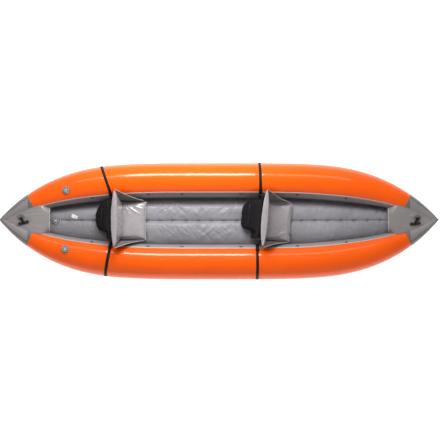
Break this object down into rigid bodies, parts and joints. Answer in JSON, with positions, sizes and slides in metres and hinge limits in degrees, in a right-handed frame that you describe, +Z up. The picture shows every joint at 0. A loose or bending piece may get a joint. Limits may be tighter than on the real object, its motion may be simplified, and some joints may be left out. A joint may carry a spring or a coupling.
{
  "type": "inflatable kayak",
  "caption": "Open two-seat inflatable kayak with side tubes, a self-bailing floor, short end decks, folding backrests, air valves and toggle grab handles.",
  "frame": {"origin": "on the ground, under the middle of the hull", "axes": "+X towards the bow, +Y to port, +Z up"},
  "size_m": [3.8, 1.0385, 0.4625],
  "materials": {
    "orange_pvc": "glossy coated fabric",
    "bladder_film": "satin film",
    "gray_pvc": "satin coated fabric",
    "light_welt": "satin",
    "gray_webbing": "woven",
    "floor_fabric": "satin coated fabric with creases",
    "eyelet_metal": "nickel plated",
    "valve_plastic": "satin",
    "cap_plastic": "satin",
    "plunger_plastic": "satin",
    "spring_steel": "bright",
    "seat_fabric": "glossy coated fabric",
    "wing_fabric": "satin coated fabric",
    "black_cloth": "woven",
    "black_webbing": "woven",
    "black_plastic": "satin",
    "black_rubber": "satin",
    "zip_plastic": "satin",
    "zip_metal": "satin"
  },
  "bodies": {
    "hull": {"port_tube_skin": "orange_pvc", "starboard_tube_skin": "orange_pvc", "port_air_cell": "bladder_film", "starboard_air_cell": "bladder_film", "bow_nose_cone": "gray_pvc", "stern_nose_cone": "gray_pvc", "port_inner_strip": "gray_pvc", "starboard_inner_strip": "gray_pvc", "cargo_loops": "gray_webbing", "tow_loops": "gray_webbing", "bow_deck_panel": "gray_pvc", "stern_deck_panel": "gray_pvc", "deck_edge_piping": "light_welt", "floor_sleeve": "floor_fabric", "floor_air_cell": "bladder_film", "port_floor_flange": "floor_fabric", "starboard_floor_flange": "floor_fabric", "flange_grommets": "eyelet_metal", "port_valve_body": "valve_plastic", "starboard_valve_body": "valve_plastic", "port_valve_spring": "spring_steel", "starboard_valve_spring": "spring_steel", "floor_valve_body": "valve_plastic", "floor_valve_spring": "spring_steel", "valve_nuts": "valve_plastic", "front_seat_cushion": "seat_fabric", "front_seat_wings": "wing_fabric", "rear_seat_cushion": "seat_fabric", "rear_seat_wings": "wing_fabric", "seat_valve_bodies": "valve_plastic", "front_back_straps": "black_webbing", "rear_back_straps": "black_webbing", "seat_tube_straps": "black_webbing", "strap_buckle_frames": "black_plastic", "toggle_anchors": "black_plastic", "zip_chains": "zip_plastic"},
    "front_back": {"front_backrest": "seat_fabric", "front_gear_pouch": "black_cloth"},
    "rear_back": {"rear_backrest": "seat_fabric", "rear_gear_pouch": "black_cloth"},
    "port_cap": {"port_valve_cap": "cap_plastic"},
    "port_plunger": {"port_valve_plunger": "plunger_plastic"},
    "starboard_cap": {"starboard_valve_cap": "cap_plastic"},
    "starboard_plunger": {"starboard_valve_plunger": "plunger_plastic"},
    "floor_cap": {"floor_valve_cap": "cap_plastic"},
    "floor_plunger": {"floor_valve_plunger": "plunger_plastic"},
    "front_seat_cap": {"front_seat_valve_cap": "cap_plastic"},
    "rear_seat_cap": {"rear_seat_valve_cap": "cap_plastic"},
    "front_port_cam": {"front_port_cam_lever": "black_plastic"},
    "front_starboard_cam": {"front_starboard_cam_lever": "black_plastic"},
    "rear_port_cam": {"rear_port_cam_lever": "black_plastic"},
    "rear_starboard_cam": {"rear_starboard_cam_lever": "black_plastic"},
    "bow_toggle": {"bow_toggle_webbing": "black_webbing", "bow_toggle_grip": "black_rubber"},
    "stern_toggle": {"stern_toggle_webbing": "black_webbing", "stern_toggle_grip": "black_rubber"},
    "port_zip": {"port_zip_slider": "zip_metal"},
    "port_zip_tab": {"port_zip_pull": "zip_metal"},
    "starboard_zip": {"starboard_zip_slider": "zip_metal"},
    "starboard_zip_tab": {"starboard_zip_pull": "zip_metal"}
  },
  "joints": [
    {"name": "front_back_fold", "type": "hinge", "parent": "hull", "child": "front_back", "pos_m": [0.412, 0, 0.21575], "axis": [0.0872, 0.9962, 0], "range_deg": [0, 60], "deforming": ["front_seat_wings", "front_back_straps"]},
    {"name": "rear_back_fold", "type": "hinge", "parent": "hull", "child": "rear_back", "pos_m": [-0.863, 0, 0.22727], "axis": [0, 1, 0], "range_deg": [0, 60], "deforming": ["rear_seat_wings", "rear_back_straps"]},
    {"name": "port_cap_hinge", "type": "hinge", "parent": "hull", "child": "port_cap", "pos_m": [-1.30886, 0.22393, 0.33454], "axis": [0.9667, 0.2558, 0.0068], "range_deg": [0, 100]},
    {"name": "port_plunger_push", "type": "slide", "parent": "hull", "child": "port_plunger", "axis": [-0.0289, 0.1355, -0.9904], "range_m": [0, 0.006], "stiffness_N_per_m": 600, "springref_m": -0.003, "deforming": ["port_valve_spring"]},
    {"name": "starboard_cap_hinge", "type": "hinge", "parent": "hull", "child": "starboard_cap", "pos_m": [-1.30886, -0.22393, 0.33454], "axis": [-0.9667, 0.2558, -0.0068], "range_deg": [0, 100]},
    {"name": "starboard_plunger_push", "type": "slide", "parent": "hull", "child": "starboard_plunger", "axis": [-0.0289, -0.1355, -0.9904], "range_m": [0, 0.006], "stiffness_N_per_m": 600, "springref_m": -0.003, "deforming": ["starboard_valve_spring"]},
    {"name": "floor_cap_hinge", "type": "hinge", "parent": "hull", "child": "floor_cap", "pos_m": [-1.43315, -0.0315, 0.18074], "axis": [0.9917, 0, -0.1286], "range_deg": [0, 100]},
    {"name": "floor_plunger_push", "type": "slide", "parent": "hull", "child": "floor_plunger", "axis": [-0.1286, 0, -0.9917], "range_m": [0, 0.006], "stiffness_N_per_m": 600, "springref_m": -0.003, "deforming": ["floor_valve_spring"]},
    {"name": "front_seat_cap_hinge", "type": "hinge", "parent": "hull", "child": "front_seat_cap", "pos_m": [0.63328, -0.1097, 0.14418], "axis": [0.0872, 0.9962, 0], "range_deg": [0, 100]},
    {"name": "rear_seat_cap_hinge", "type": "hinge", "parent": "hull", "child": "rear_seat_cap", "pos_m": [-0.633, -0.09, 0.1557], "axis": [0, 1, 0], "range_deg": [0, 100]},
    {"name": "front_port_cam_lift", "type": "hinge", "parent": "hull", "child": "front_port_cam", "pos_m": [0.36204, 0.24633, 0.27719], "axis": [0.9999, -0.0057, 0.0083], "range_deg": [0, 70], "stiffness_Nm_per_rad": 0.02, "springref_deg": -17.19},
    {"name": "front_starboard_cam_lift", "type": "hinge", "parent": "hull", "child": "front_starboard_cam", "pos_m": [0.33166, -0.24648, 0.27695], "axis": [-1, -0.0044, -0.007], "range_deg": [0, 70], "stiffness_Nm_per_rad": 0.02, "springref_deg": -17.19},
    {"name": "rear_port_cam_lift", "type": "hinge", "parent": "hull", "child": "rear_port_cam", "pos_m": [-0.93953, 0.22363, 0.29402], "axis": [0.9946, 0.0926, -0.0461], "range_deg": [0, 70], "stiffness_Nm_per_rad": 0.02, "springref_deg": -17.19},
    {"name": "rear_starboard_cam_lift", "type": "hinge", "parent": "hull", "child": "rear_starboard_cam", "pos_m": [-0.93709, -0.22385, 0.2939], "axis": [-0.9947, 0.0922, 0.0462], "range_deg": [0, 70], "stiffness_Nm_per_rad": 0.02, "springref_deg": -17.19},
    {"name": "bow_toggle_swing", "type": "hinge", "parent": "hull", "child": "bow_toggle", "pos_m": [1.712, 0.014, 0.31559], "axis": [-0.8944, 0.4472, 0], "range_deg": [0, 80]},
    {"name": "stern_toggle_swing", "type": "hinge", "parent": "hull", "child": "stern_toggle", "pos_m": [-1.706, 0.018, 0.31559], "axis": [-0.8695, -0.494, 0], "range_deg": [0, 80]},
    {"name": "port_zip_run", "type": "slide", "parent": "hull", "child": "port_zip", "axis": [1, 0, 0], "range_m": [0, 0.354]},
    {"name": "port_zip_tab_swing", "type": "hinge", "parent": "port_zip", "child": "port_zip_tab", "pos_m": [-0.177, 0.49438, 0.06406], "axis": [0, -0.5736, -0.8191], "range_deg": [-80, 80]},
    {"name": "starboard_zip_run", "type": "slide", "parent": "hull", "child": "starboard_zip", "axis": [1, 0, 0], "range_m": [0, 0.354]},
    {"name": "starboard_zip_tab_swing", "type": "hinge", "parent": "starboard_zip", "child": "starboard_zip_tab", "pos_m": [-0.177, -0.49438, 0.06406], "axis": [0, -0.5736, 0.8191], "range_deg": [-80, 80]}
  ]
}
